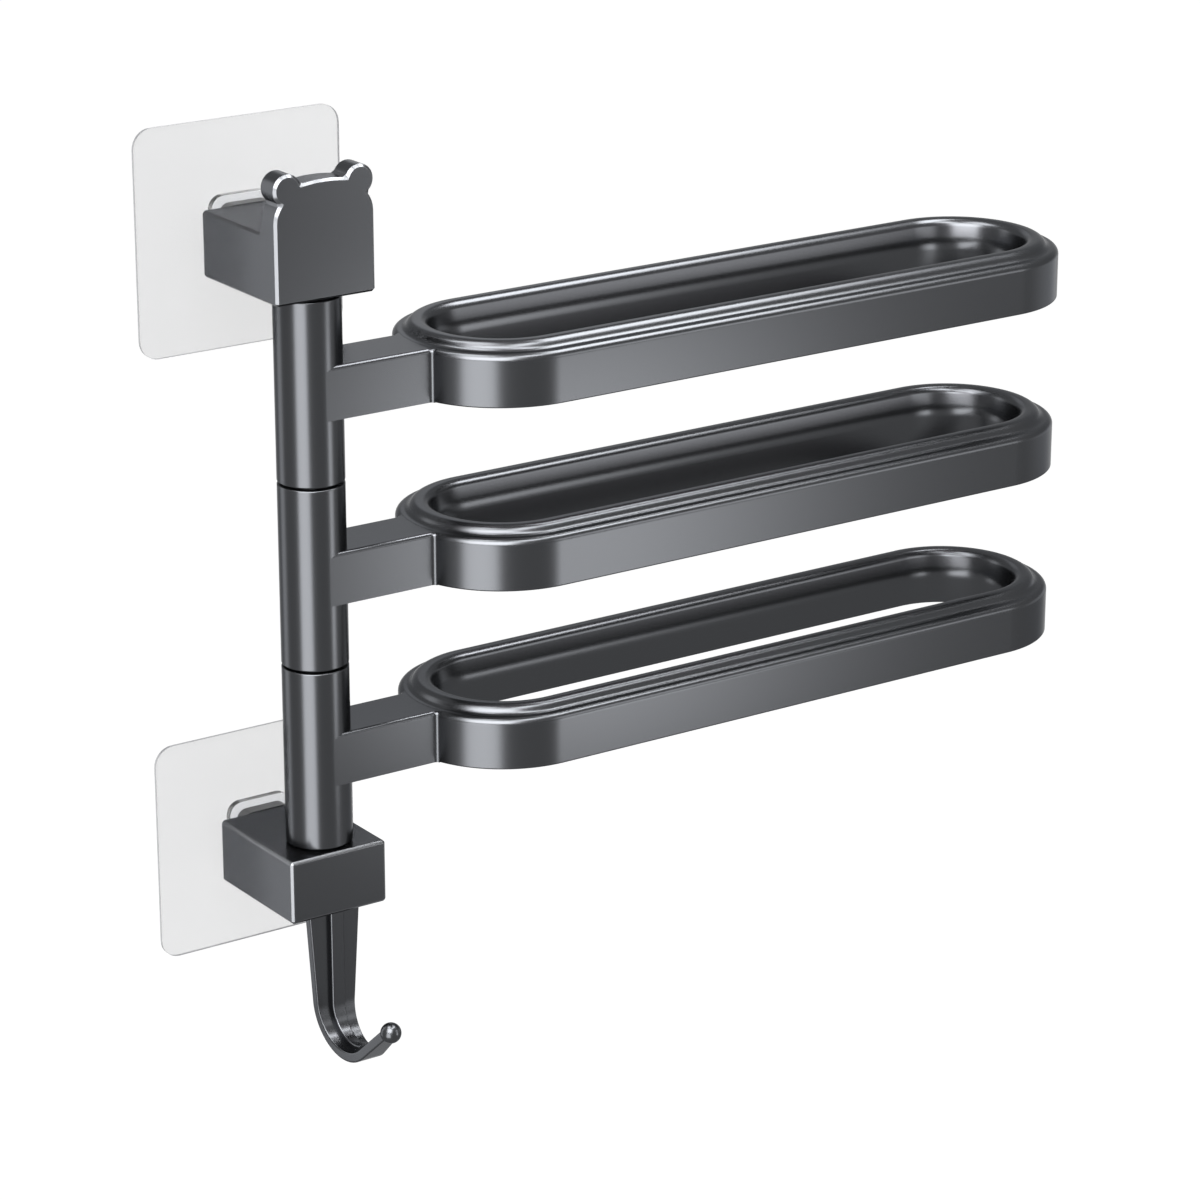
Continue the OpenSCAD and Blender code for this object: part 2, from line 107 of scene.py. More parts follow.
def addBox(name, low, high):
    low, high = Vector(low), Vector(high)
    deselectAll()
    bpy.ops.mesh.primitive_cube_add(size=1, location=(low + high) / 2, scale=high - low)
    box = bpy.context.object
    box.name = name
    bpy.ops.object.transform_apply(location=True, rotation=True, scale=True)
    return box


def closeShell():
    # one skin: doubles merged and every face turned outwards
    bpy.ops.mesh.select_all(action="SELECT")
    bpy.ops.mesh.remove_doubles(threshold=tiny)
    bpy.ops.mesh.normals_make_consistent(inside=False)
    stopEditing()


def roundEdges(piece, width, steps, wanted):
    # bevels the edges whose two ends both pass the test
    startEditing(piece)
    bpy.ops.mesh.select_mode(type="EDGE")
    bpy.ops.mesh.select_all(action="DESELECT")
    mesh = bmesh.from_edit_mesh(piece.data)
    for edge in mesh.edges:
        if all(wanted(corner.co) for corner in edge.verts):
            edge.select_set(True)
    bmesh.update_edit_mesh(piece.data)
    bpy.ops.mesh.bevel(offset=width, segments=steps, profile=0.5, clamp_overlap=False)
    bpy.ops.mesh.select_mode(type="VERT")
    stopEditing()


def joinPieces(name, pieces):
    makeActive(pieces[0])
    for piece in pieces:
        piece.select_set(True)
    bpy.ops.object.join()
    pieces[0].name = name
    return pieces[0]


def copyPiece(piece, name, step):
    copied = piece.copy()
    copied.data = piece.data.copy()
    copied.name = name
    bpy.context.scene.collection.objects.link(copied)
    copied.location = step
    makeActive(copied)
    bpy.ops.object.transform_apply(location=True)
    return copied


# An outline is drawn with one corner that is pulled along lines and spun round arcs.
# A stroke is the (u, v) where a line ends, or the (u, v) of an arc's centre and the degrees that it turns.
planes = {
    "side": {"axis": (1, 0, 0), "place": lambda u, v, depth: Vector((depth, u, v))},
    "plan": {"axis": (0, 0, 1), "place": lambda u, v, depth: Vector((u, v, depth))},
    "front": {"axis": (0, -1, 0), "place": lambda u, v, depth: Vector((u, depth, v))},
}
arcStep = 11.25  # degrees
fewestArcSteps = 3  # for the shortest arcs


def drawOutline(name, plane, depth, start, strokes, filled=True):
    place, axis = planes[plane]["place"], Vector(planes[plane]["axis"])
    here = place(*start, depth)
    deselectAll()
    bpy.ops.mesh.primitive_plane_add(size=mm, location=here)
    piece = bpy.context.object
    piece.name = name
    bpy.ops.object.transform_apply(location=True)
    startEditing(piece)
    bpy.ops.mesh.merge(type="CENTER")
    for stroke in strokes:
        if len(stroke) == 2:
            there = place(*stroke, depth)
            pushAlong(there - here)
            here = there
        else:
            centre = place(stroke[0], stroke[1], depth)
            turnRound(centre, axis, stroke[2], max(fewestArcSteps, round(abs(stroke[2]) / arcStep)))
            here = centre + Matrix.Rotation(math.radians(stroke[2]), 3, axis) @ (here - centre)
    bpy.ops.mesh.select_all(action="SELECT")
    bpy.ops.mesh.remove_doubles(threshold=tiny)
    if filled:
        bpy.ops.mesh.edge_face_add()
    stopEditing()
    return piece


def thicken(piece, step):
    startEditing(piece)
    pushAlong(step)
    closeShell()
    return piece


# Materials: each pattern has the size of the real one, or a note where it is drawn coarser
def linearColour(hexCode):
    channels = [int(hexCode[i:i + 2], 16) / 255 for i in (1, 3, 5)]
    linear = [c / 12.92 if c <= 0.04045 else ((c + 0.055) / 1.055) ** 2.4 for c in channels]
    return (*linear, 1)


def addNode(tree, kind, values=None, links=None, **settings):
    # values sets inputs, links feeds inputs from other nodes' outputs, settings sets the node's own fields
    node = tree.nodes.new(kind)
    for name, value in settings.items():
        setattr(node, name, value)
    for name, value in (values or {}).items():
        node.inputs[name].default_value = value
    for name, output in (links or {}).items():
        tree.links.new(output, node.inputs[name])
    return node


def newMaterial(name, values):
    # values sets the sockets of the shader that are the same all over
    material = bpy.data.materials.new(name)
    material.use_nodes = True
    shader = material.node_tree.nodes["Principled BSDF"]
    for socket, value in values.items():
        shader.inputs[socket].default_value = value
    return material, material.node_tree, shader


def bareMaterial(name):
    material = bpy.data.materials.new(name)
    material.use_nodes = True
    material.node_tree.nodes.clear()
    return material, material.node_tree


metallicPaint = {
    "colour": "#38393b",
    # a paler colour for the chamfered edges: a painted highlight
    "colourOverEdges": "#4a4b4d",
    "edgeTint": "#bcbdbf",
    "metallic": 0.9,
    "roughness": 0.25,
    "roughnessSwing": 0.008,
    "flakeSize": 0.4 * mm,  # real flakes are about 0.03 mm: drawn coarser, so that they show
    "flakeContrast": (0.3, 0.7),
    "peelSize": 1.6 * mm,
    "peelDepth": 0.0005 * mm,
    "peelStrength": 0.6,
}


def satinMetallicPaint(name, colour):
    # sprayed aluminium-flake lacquer on moulded ABS: soft wide reflections and a faint orange peel
    material, tree, shader = newMaterial(name, {
        "Base Color": linearColour(colour),
        "Metallic": metallicPaint["metallic"],
        "Specular Tint": linearColour(metallicPaint["edgeTint"]),
    })
    where = addNode(tree, "ShaderNodeTexCoord")
    flake = addNode(tree, "ShaderNodeTexNoise", {"Scale": 1 / metallicPaint["flakeSize"], "Detail": 1.0},
                    {"Vector": where.outputs["Object"]})
    sheen = addNode(tree, "ShaderNodeMapRange", {
        "From Min": metallicPaint["flakeContrast"][0],
        "From Max": metallicPaint["flakeContrast"][1],
        "To Min": metallicPaint["roughness"] - metallicPaint["roughnessSwing"],
        "To Max": metallicPaint["roughness"] + metallicPaint["roughnessSwing"],
    }, {"Value": flake.outputs["Fac"]})
    peel = addNode(tree, "ShaderNodeTexNoise", {"Scale": 1 / metallicPaint["peelSize"], "Detail": 2.0},
                   {"Vector": where.outputs["Object"]})
    bump = addNode(tree, "ShaderNodeBump", {
        "Strength": metallicPaint["peelStrength"],
        "Distance": metallicPaint["peelDepth"],
    }, {"Height": peel.outputs["Fac"]})
    tree.links.new(sheen.outputs["Result"], shader.inputs["Roughness"])
    tree.links.new(bump.outputs["Normal"], shader.inputs["Normal"])
    return material


darkAbs = {
    "colour": "#343536",
    "roughness": 0.38,
    "ior": 1.53,
    "grainSize": 0.6 * mm,  # real grain is about 0.1 mm: drawn coarser, so that it shows
    "grainDepth": 0.004 * mm,
    "grainStrength": 0.7,
}


def darkMouldedAbs():
    # uncoated moulded ABS: dull and dark, with the fine grain of a spark-eroded mould
    material, tree, shader = newMaterial("darkMouldedAbs", {
        "Base Color": linearColour(darkAbs["colour"]),
        "Roughness": darkAbs["roughness"],
        "IOR": darkAbs["ior"],
    })
    where = addNode(tree, "ShaderNodeTexCoord")
    grain = addNode(tree, "ShaderNodeTexNoise", {"Scale": 1 / darkAbs["grainSize"], "Detail": 3.0},
                    {"Vector": where.outputs["Object"]})
    bump = addNode(tree, "ShaderNodeBump", {
        "Strength": darkAbs["grainStrength"],
        "Distance": darkAbs["grainDepth"],
    }, {"Height": grain.outputs["Fac"]})
    tree.links.new(bump.outputs["Normal"], shader.inputs["Normal"])
    return material


seeThrough = {
    "film": {"colour": "#a9aaae", "cover": 0.095, "roughness": 0.35, "ior": 1.5},
    "gel": {"colour": "#a4a5aa", "cover": 0.095, "roughness": 0.45, "ior": 1.47},
    "cloudColour": "#b2b3b6",
    "cloudSize": 14 * mm,
    "roughnessSwing": 0.04,
}


def thinClearLayer(name, kind):
    # a clear layer under a millimetre thick: the wall shows through it, only its faint grey haze is seen
    facts = seeThrough[kind]
    material, tree, shader = newMaterial(name, {"Alpha": facts["cover"], "IOR": facts["ior"]})
    where = addNode(tree, "ShaderNodeTexCoord")
    cloud = addNode(tree, "ShaderNodeTexNoise", {"Scale": 1 / seeThrough["cloudSize"], "Detail": 2.0},
                    {"Vector": where.outputs["Object"]})
    haze = addNode(tree, "ShaderNodeMapRange", {
        "To Min": facts["roughness"] - seeThrough["roughnessSwing"],
        "To Max": facts["roughness"] + seeThrough["roughnessSwing"],
    }, {"Value": cloud.outputs["Fac"]})
    tint = addNode(tree, "ShaderNodeMix", {
        "A": linearColour(facts["colour"]),
        "B": linearColour(seeThrough["cloudColour"]),
    }, {"Factor": cloud.outputs["Fac"]}, data_type="RGBA")
    tree.links.new(tint.outputs["Result"], shader.inputs["Base Color"])
    tree.links.new(haze.outputs["Result"], shader.inputs["Roughness"])
    return material


clearMoulding = {
    "colour": "#f8f9fb",
    "roughness": 0.08,
    "ior": 1.585,
    "rippleSize": 9 * mm,
    "rippleDepth": 0.02 * mm,
    "rippleStrength": 0.3,
}


def clearPolycarbonate():
    # injection-moulded polycarbonate: clear as glass, with the slight ripple of its mould
    material, tree, shader = newMaterial("clearPolycarbonate", {
        "Base Color": linearColour(clearMoulding["colour"]),
        "Roughness": clearMoulding["roughness"],
        "IOR": clearMoulding["ior"],
        "Transmission Weight": 1.0,
    })
    where = addNode(tree, "ShaderNodeTexCoord")
    ripple = addNode(tree, "ShaderNodeTexNoise", {"Scale": 1 / clearMoulding["rippleSize"], "Detail": 1.0},
                     {"Vector": where.outputs["Object"]})
    bump = addNode(tree, "ShaderNodeBump", {
        "Strength": clearMoulding["rippleStrength"],
        "Distance": clearMoulding["rippleDepth"],
    }, {"Height": ripple.outputs["Fac"]})
    tree.links.new(bump.outputs["Normal"], shader.inputs["Normal"])
    return material


# grey and paler tones for the clear film's rim: painted shade and painted glints
filmRim = {
    "darkColour": "#7e7f82",
    "paleColour": "#9c9da0",
    "roughness": 0.3,
    "ior": 1.5,
    "streakSize": 4 * mm,
}


def cutFilmEdge():
    # the die-cut rim of the film, painted as a fine grey line with paler streaks: painted shade and painted glints
    # for how the clear rim bends the light
    material, tree, shader = newMaterial("cutFilmEdge", {
        "Roughness": filmRim["roughness"],
        "IOR": filmRim["ior"],
    })
    where = addNode(tree, "ShaderNodeTexCoord")
    streaks = addNode(tree, "ShaderNodeTexNoise", {"Scale": 1 / filmRim["streakSize"], "Detail": 2.0},
                      {"Vector": where.outputs["Object"]})
    tint = addNode(tree, "ShaderNodeMix", {
        "A": linearColour(filmRim["darkColour"]),
        "B": linearColour(filmRim["paleColour"]),
    }, {"Factor": streaks.outputs["Fac"]}, data_type="RGBA")
    tree.links.new(tint.outputs["Result"], shader.inputs["Base Color"])
    return material


acetal = {
    "colour": "#1c1c1e",
    "roughness": 0.42,
    "ior": 1.48,
    "toolMarkSize": 0.4 * mm,
    "toolMarkDepth": 0.003 * mm,
    "toolMarkStrength": 0.4,
}


def blackAcetal():
    # turned acetal: waxy and nearly black, faintly uneven from the tool
    material, tree, shader = newMaterial("blackAcetal", {
        "Base Color": linearColour(acetal["colour"]),
        "Roughness": acetal["roughness"],
        "IOR": acetal["ior"],
    })
    where = addNode(tree, "ShaderNodeTexCoord")
    marks = addNode(tree, "ShaderNodeTexNoise", {"Scale": 1 / acetal["toolMarkSize"], "Detail": 0.0},
                    {"Vector": where.outputs["Object"]})
    bump = addNode(tree, "ShaderNodeBump", {
        "Strength": acetal["toolMarkStrength"],
        "Distance": acetal["toolMarkDepth"],
    }, {"Height": marks.outputs["Fac"]})
    tree.links.new(bump.outputs["Normal"], shader.inputs["Normal"])
    return material


zinc = {
    "colour": "#b9bcc2",
    "brightRoughness": 0.22,
    "cloudyRoughness": 0.34,
    "cloudSize": 2 * mm,
}


def zincPlatedSteel():
    # steel plated with zinc in a barrel: bright silver with faint clouds
    material, tree, shader = newMaterial("zincPlatedSteel", {
        "Base Color": linearColour(zinc["colour"]),
        "Metallic": 1.0,
    })
    where = addNode(tree, "ShaderNodeTexCoord")
    cloud = addNode(tree, "ShaderNodeTexNoise", {"Scale": 1 / zinc["cloudSize"], "Detail": 3.0},
                    {"Vector": where.outputs["Object"]})
    sheen = addNode(tree, "ShaderNodeMapRange", {
        "To Min": zinc["brightRoughness"],
        "To Max": zinc["cloudyRoughness"],
    }, {"Value": cloud.outputs["Fac"]})
    tree.links.new(sheen.outputs["Result"], shader.inputs["Roughness"])
    return material


paint = satinMetallicPaint("satinMetallicPaint", metallicPaint["colour"])
# the same lacquer painted paler on the chamfered edges: a painted highlight, so each edge shows as a bright line
edgeHighlightPaint = satinMetallicPaint("thinnedMetallicPaint", metallicPaint["colourOverEdges"])
finishes = {
    "gunmetal": paint,
    "dark_moulding": darkMouldedAbs(),
    "clear_film": thinClearLayer("clearPolyesterFilm", "film"),
    "adhesive": thinClearLayer("clearAcrylicGel", "gel"),
    "clear_moulding": clearPolycarbonate(),
    "steel": zincPlatedSteel(),
    "acetal": blackAcetal(),
}
filmEdgeShadePaint = cutFilmEdge()
slotOfNode = {part["node"]: part["material_slot"] for part in frame["record"]["subparts"]}
for nodeName, node in frame["nodes"].items():
    node.data.materials.clear()
    node.data.materials.append(finishes[slotOfNode[nodeName]])
print("stage: materials made")


largeFaceWeight = 80  # 50 is even, and more lets the larger faces decide the shading


def finishPiece(piece, body, node):
    # smooth where the shape is smooth, flat where it is flat, then handed to its body
    makeActive(piece)
    bpy.ops.object.shade_smooth_by_angle(angle=math.radians(sharpTurn))
    applyModifier(piece, "WEIGHTED_NORMAL", mode="FACE_AREA", keep_sharp=True, weight=largeFaceWeight)
    if not piece.data.materials:
        piece.data.materials.append(finishes[slotOfNode[node]])
    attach(piece, body)
    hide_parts(node)


# The arm: sleeve, neck and loop of one moulding
arm = {
    "rimHeight": 18.8 * mm,
    "lip": 3.2 * mm,  # height above the rim
    "outerEdge": 2.6 * mm,
    "hollow": 2.6 * mm,
    "lipSlope": 61,  # slopes and the undercut are in degrees
    "crest": 9.3 * mm,  # from the loop's outer side
    "innerRoll": 3.4 * mm,
    "innerSlope": 13,
    "innerBand": 3.6 * mm,
    "innerCurve": 12 * mm,
    "undercut": 13,
    "footEdge": 0.6 * mm,
    "neckEdge": 1.5 * mm,
    "neckEdgeSteps": 5,
    "wall": 2.4 * mm,
    "cornerFillet": 1.6 * mm,
    "sleeveWall": 2.6 * mm,
    "sleeveEdge": 0.5 * mm,
    "neckGap": 39.7 * mm,  # from the post's axis to the loop
    "loopSteps": 64,
    "sleeveSteps": 128,
}
nearX = arm["neckGap"] + loopRadius
loopFoot = (topArm[0].z + topArm[1].z) / 2 - arm["rimHeight"] / 2


def makeLoop():
    foot, height, wall = loopFoot, arm["rimHeight"], arm["wall"]
    outer, lip, edge, toe = postY - loopRadius, arm["lip"], arm["outerEdge"], arm["footEdge"]
    top, crest = foot + height, foot + height + lip
    # from the outer edge a hollow sweeps up into the rounded crest
    lean = math.radians(arm["lipSlope"])
    hollow = arm["hollow"]
    swell = lip / (1 - math.cos(lean)) - hollow
    swellCentre = (outer + edge + (hollow + swell) * math.sin(lean), crest - swell)
    # the inner side rolls over the crest, leans out in a band and then tucks in towards its foot
    roll, curve, band = arm["innerRoll"], arm["innerCurve"], arm["innerBand"]
    slope, undercut = math.radians(arm["innerSlope"]), math.radians(arm["undercut"])
    rollCentre = (outer + arm["crest"], crest - roll)
    bandFoot = (rollCentre[0] + roll * math.cos(slope) + band * math.sin(slope),
                rollCentre[1] + roll * math.sin(slope) - band * math.cos(slope))
    curveCentre = (bandFoot[0] - curve * math.cos(slope), bandFoot[1] - curve * math.sin(slope))
    tuckTop = (curveCentre[0] + curve * math.cos(undercut), curveCentre[1] - curve * math.sin(undercut))
    inside = tuckTop[0] - (tuckTop[1] - foot - toe) * math.tan(undercut)
    loop = drawOutline("loop", "side", farX, (outer, foot + toe), [
        (outer, top - edge),
        (outer + edge, top - edge, -90),
        (outer + edge, top + hollow, arm["lipSlope"]),
        (*swellCentre, -arm["lipSlope"]),
        (rollCentre[0], crest),
        (*rollCentre, arm["innerSlope"] - 90),
        bandFoot,
        (*curveCentre, -arm["innerSlope"] - arm["undercut"]),
        (inside, foot + toe),
        (inside - toe, foot),
        (inside - wall, foot),
        (inside - wall, top - wall),
        (outer + wall, top - wall),
        (outer + wall, foot),
        (outer + toe, foot),
        (outer + toe, foot + toe, -90),
    ], filled=False)
    startEditing(loop)
    turnRound((farX, postY, 0), (0, 0, 1), 180, arm["loopSteps"])
    pushAlong((nearX - farX, 0, 0))
    turnRound((nearX, postY, 0), (0, 0, 1), 180, arm["loopSteps"])
    pushAlong((farX - nearX, 0, 0))
    closeShell()
    return loop


def makeNeck():
    fillet, edge, wall = arm["cornerFillet"], arm["neckEdge"], arm["wall"]
    reach = loopRadius + fillet
    side = sleeveRadius + fillet
    filletX = nearX - math.sqrt(reach ** 2 - side ** 2)
    lean = math.degrees(math.asin(side / reach))
    inRing = (loopRadius - edge) / reach
    onRing = loopRadius / reach
    touch = [nearX + (filletX - nearX) * onRing, side * onRing]
    tuck = [nearX + (filletX - nearX) * inRing, side * inRing]
    neck = drawOutline("neck", "plan", loopFoot, (postX, postY + sleeveRadius), [
        (filletX, postY + sleeveRadius),
        (filletX, postY + side, 90 - lean),
        (tuck[0], postY + tuck[1]),
        (nearX, postY, 2 * lean),
        (touch[0], postY - touch[1]),
        (filletX, postY - side, 90 - lean),
        (postX, postY - sleeveRadius),
        (postX, postY + sleeveRadius),
    ])
    thicken(neck, (0, 0, arm["rimHeight"]))

    def onSide(corner):
        return (abs(corner.y - postY) > sleeveRadius - tiny and corner.x < touch[0] + tiny
                and corner.z > loopFoot + arm["rimHeight"] - tiny)

    roundEdges(neck, edge, arm["neckEdgeSteps"], onSide)
    halfPocket = sleeveRadius - wall
    nearSleeve = sleeveRadius + wall
    sleeveTurn = math.degrees(math.asin(halfPocket / nearSleeve))
    ringTurn = math.degrees(math.asin(halfPocket / loopRadius))
    atSleeve = postX + nearSleeve * math.cos(math.radians(sleeveTurn))
    atRing = nearX - loopRadius * math.cos(math.radians(ringTurn))
    pocket = drawOutline("pocket", "plan", loopFoot - wall, (atSleeve, postY - halfPocket), [
        (atRing, postY - halfPocket),
        (nearX, postY, -2 * ringTurn),
        (atSleeve, postY + halfPocket),
        (postX, postY, -2 * sleeveTurn),
    ])
    thicken(pocket, (0, 0, arm["rimHeight"]))
    cutAway(neck, pocket)
    return neck


def makeSleeve():
    low, high, edge = topArm[0].z, topArm[1].z, arm["sleeveEdge"]
    outer = postY + sleeveRadius
    bore = outer - arm["sleeveWall"]
    sleeve = drawOutline("sleeve", "side", postX, (bore, low), [
        (outer - edge, low),
        (outer - edge, low + edge, 90),
        (outer, high - edge),
        (outer - edge, high - edge, 90),
        (bore, high),
        (bore, low),
    ], filled=False)
    startEditing(sleeve)
    turnRound((postX, postY, 0), (0, 0, 1), 360, arm["sleeveSteps"])
    closeShell()
    return sleeve


print("stage: arms")
firstArm = joinPieces("topArm", [makeLoop(), makeNeck(), makeSleeve()])
armPieces = {"top_arm": firstArm}
for drops, (node, name) in enumerate([("middle_arm", "middleArm"), ("bottom_arm", "bottomArm")], 1):
    armPieces[node] = copyPiece(firstArm, name, (0, 0, -drops * armDrop))
for node, piece in armPieces.items():
    finishPiece(piece, node, node)


# The brackets: hollow behind, solid round the post
bracket = {
    "chamfer": 0.95 * mm,
    "chamferCorner": 0.22 * mm,
    "backWall": 2.6 * mm,
    "hollowDepth": 28 * mm,
    "plateThickness": 9.6 * mm,
    "plateFillet": 3 * mm,
    "earRadius": 5.4 * mm,
    "earDrop": 2.3 * mm,
    "shoulderRadius": 9.5 * mm,
    "shoulderDrop": 13.2 * mm,
    "crownRadius": 54 * mm,
    "screwHead": 3.82 * mm,  # radii of the countersink
    "screwShank": 2.0 * mm,
    "screwSteps": 48,
}
spare = 1 * mm  # how far a cutter or a blank reaches past the bracket
halfWidth = topBracket[1].x
bracketFront = topBracket[0].y
bracketBack = topBracket[1].y
bracketHeight = lowBracket[1].z - lowBracket[0].z


def hollowBack(piece, low, high):
    wall = bracket["backWall"]
    hollow = addBox("hollow", (-halfWidth + wall, bracketBack - bracket["hollowDepth"], low + wall),
                    (halfWidth - wall, bracketBack + wall, high - wall))
    cutAway(piece, hollow)


def meetAngle(fromCentre, fromRadius, toCentre, toRadius, side):
    # angle on the first circle at which it meets the second one
    gap = Vector(toCentre) - Vector(fromCentre)
    along = (gap.length_squared + fromRadius ** 2 - toRadius ** 2) / (2 * gap.length)
    return math.degrees(math.atan2(gap.y, gap.x) + side * math.acos(along / fromRadius))


def chamferEdges(piece):
    # a flat chamfer, then its own two edges softened, all in the second material: the paler lacquer that paints a
    # highlight along each edge
    piece.data.materials.append(paint)
    piece.data.materials.append(edgeHighlightPaint)
    for width, steps in ((bracket["chamfer"], 1), (bracket["chamferCorner"], 2)):
        applyModifier(piece, "BEVEL", width=width, segments=steps, limit_method="ANGLE",
                      angle_limit=math.radians(sharpTurn), material=1)


def makeTopBracket():
    low, high = topBracket[0].z, topBracket[0].z + bracketHeight
    plateBack = bracketFront + bracket["plateThickness"]
    fillet, earRadius = bracket["plateFillet"], bracket["earRadius"]
    crownTop = topBracket[1].z - earRadius + bracket["earDrop"]
    side = drawOutline("topBracket", "side", -halfWidth - spare, (bracketFront, low), [
        (bracketBack, low),
        (bracketBack, high),
        (plateBack + fillet, high),
        (plateBack + fillet, high + fillet, -90),
        (plateBack, topBracket[1].z + spare),
        (bracketFront, topBracket[1].z + spare),
        (bracketFront, low),
    ])
    thicken(side, (2 * halfWidth + 2 * spare, 0, 0))
    shoulder = (halfWidth - bracket["shoulderRadius"], crownTop - bracket["shoulderDrop"])
    ear = (halfWidth - earRadius, crownTop - bracket["earDrop"])
    crown = (0, crownTop - bracket["crownRadius"])
    shoulderEnd = meetAngle(shoulder, bracket["shoulderRadius"], ear, earRadius, -1)
    earStart = meetAngle(ear, earRadius, shoulder, bracket["shoulderRadius"], 1)
    earEnd = meetAngle(ear, earRadius, crown, bracket["crownRadius"], -1)
    crownStart = meetAngle(crown, bracket["crownRadius"], ear, earRadius, 1)
    outline = drawOutline("outline", "front", bracketFront - spare, (halfWidth, low), [
        (halfWidth, shoulder[1]),
        (*shoulder, shoulderEnd % 360),
        (*ear, (earEnd - earStart) % 360),
        (*crown, 2 * (90 - crownStart)),
        (-ear[0], ear[1], (earEnd - earStart) % 360),
        (-shoulder[0], shoulder[1], shoulderEnd % 360),
        (-halfWidth, low),
        (halfWidth, low),
    ])
    thicken(outline, (0, bracketBack - bracketFront + 2 * spare, 0))
    applyModifier(side, "BOOLEAN", operation="INTERSECT", object=outline, solver="EXACT")
    bpy.data.objects.remove(outline)
    hollowBack(side, low, high)
    chamferEdges(side)
    return side


def makeLowBracket():
    low, high = lowBracket[0].z, lowBracket[1].z
    block = addBox("lowBracket", (-halfWidth, bracketFront, low), (halfWidth, bracketBack, high))
    hollowBack(block, low, high)
    chamferEdges(block)
    head, shank = bracket["screwHead"], bracket["screwShank"]
    deselectAll()
    bpy.ops.mesh.primitive_cone_add(vertices=bracket["screwSteps"], radius1=head + spare, radius2=shank,
                                    depth=head - shank + spare,
                                    location=(postX, postY, low + (head - shank - spare) / 2))
    cutAway(block, bpy.context.object)
    return block


print("stage: brackets")
finishPiece(makeTopBracket(), "wall_rack", "upper_bracket")
finishPiece(makeLowBracket(), "wall_rack", "lower_bracket")


# The hook: a tapered strap with a rib, bent up to a ball
hook = {
    "thickness": 3.5 * mm,
    "back": 50.75 * mm,
    "topHalf": 10.15 * mm,
    "bendHalf": 7.8 * mm,
    "endHalf": 2.8 * mm,
    "edge": 0.7 * mm,
    "drop": 34.6 * mm,
    "bendRadius": 14.8 * mm,
    "slope": 43,  # degrees above level at the tip
    "endLength": 17.8 * mm,
    "ballRadius": 3.7 * mm,
    "ballSteps": 48,
    "ribHalf": 2.65 * mm,
    "ribEndHalf": 1.6 * mm,
    "ribOut": 2 * mm,
    "ribEnd": 25,  # degrees past the lowest point
    "straightSteps": 6,
    "bendSteps": 28,
}
hookTop = lowBracket[0].z
bendY = -(hook["back"] + hook["thickness"] / 2 + hook["bendRadius"])
bendZ = hookTop - hook["drop"]


def narrow(fromHalf, toHalf):
    bpy.ops.transform.resize(value=(toHalf / fromHalf, 1, 1), center_override=(postX, 0, 0))


def sweepHook(piece, halves, bend, straight):
    # halves gives the half width at the top, at the start of the bend and at the end; bend is in degrees
    topHalf, bendHalf, endHalf = halves
    startEditing(piece)
    width = topHalf
    steps = hook["straightSteps"]
    for step in range(1, steps + 1):
        pushAlong((0, 0, -hook["drop"] / steps))
        wanted = topHalf + (bendHalf - topHalf) * step / steps
        narrow(width, wanted)
        width = wanted
    bendLength = math.radians(bend) * hook["bendRadius"]
    steps = hook["bendSteps"]
    for step in range(1, steps + 1):
        turnRound((postX, bendY, bendZ), (1, 0, 0), -bend / steps, 1)
        wanted = bendHalf + (endHalf - bendHalf) * (step / steps) * bendLength / (bendLength + straight)
        narrow(width, wanted)
        width = wanted
    if straight:
        slope = math.radians(hook["slope"])
        pushAlong((0, -straight * math.cos(slope), straight * math.sin(slope)))
        narrow(width, endHalf)
    closeShell()


def roundedBar(name, half, back, front, edge):
    # a rectangle with round corners, seen from above
    return drawOutline(name, "plan", hookTop, (half - edge, back), [
        (half - edge, back - edge, -90),
        (half, front + edge),
        (half - edge, front + edge, -90),
        (-half + edge, front),
        (-half + edge, front + edge, -90),
        (-half, back - edge),
        (-half + edge, back - edge, -90),
        (half - edge, back),
    ])


def makeHook():
    back, thick, edge = -hook["back"], hook["thickness"], hook["edge"]
    radius, length = hook["bendRadius"], hook["endLength"]
    strap = roundedBar("strap", hook["topHalf"], back, back - thick, edge)
    sweepHook(strap, (hook["topHalf"], hook["bendHalf"], hook["endHalf"]), 90 + hook["slope"], length)
    rib = roundedBar("rib", hook["ribHalf"], back - thick / 2, back - thick - hook["ribOut"], edge)
    sweepHook(rib, (hook["ribHalf"], hook["ribHalf"], hook["ribEndHalf"]), 90 + hook["ribEnd"], 0)
    slope = math.radians(hook["slope"])
    ballY = bendY - radius * math.sin(slope) - length * math.cos(slope)
    ballZ = bendZ - radius * math.cos(slope) + length * math.sin(slope)
    deselectAll()
    bpy.ops.mesh.primitive_uv_sphere_add(segments=hook["ballSteps"], ring_count=hook["ballSteps"] // 2,
                                         radius=hook["ballRadius"], location=(postX, ballY, ballZ))
    ball = bpy.context.object
    bpy.ops.object.transform_apply(location=True)
    return joinPieces("hook", [strap, rib, ball])


print("stage: hook")
finishPiece(makeHook(), "wall_rack", "hook")


# Clear pads, and the clear hangers that the dark sockets slide down over
pad = {"corner": 7 * mm, "rim": 0.35 * mm, "airGap": 0.04 * mm}
hanger = {
    "corner": 5 * mm,
    "edge": 0.4 * mm,
    "plate": 2.7 * mm,
    "stem": 2.6 * mm,
    "stemHalf": 3.5 * mm,
    "railHalf": 6 * mm,
    "railFoot": 10.1 * mm,
    "railTop": 7.55 * mm,
}


def roundedPlate(name, half, centreZ, corner, back, front):
    low, high = centreZ - half[1], centreZ + half[1]
    plate = drawOutline(name, "front", back, (half[0], low + corner), [
        (half[0], high - corner),
        (half[0] - corner, high - corner, 90),
        (-half[0] + corner, high),
        (-half[0] + corner, high - corner, 90),
        (-half[0], low + corner),
        (-half[0] + corner, low + corner, 90),
        (half[0] - corner, low),
        (half[0] - corner, low + corner, 90),
    ])
    return thicken(plate, (0, front - back, 0))


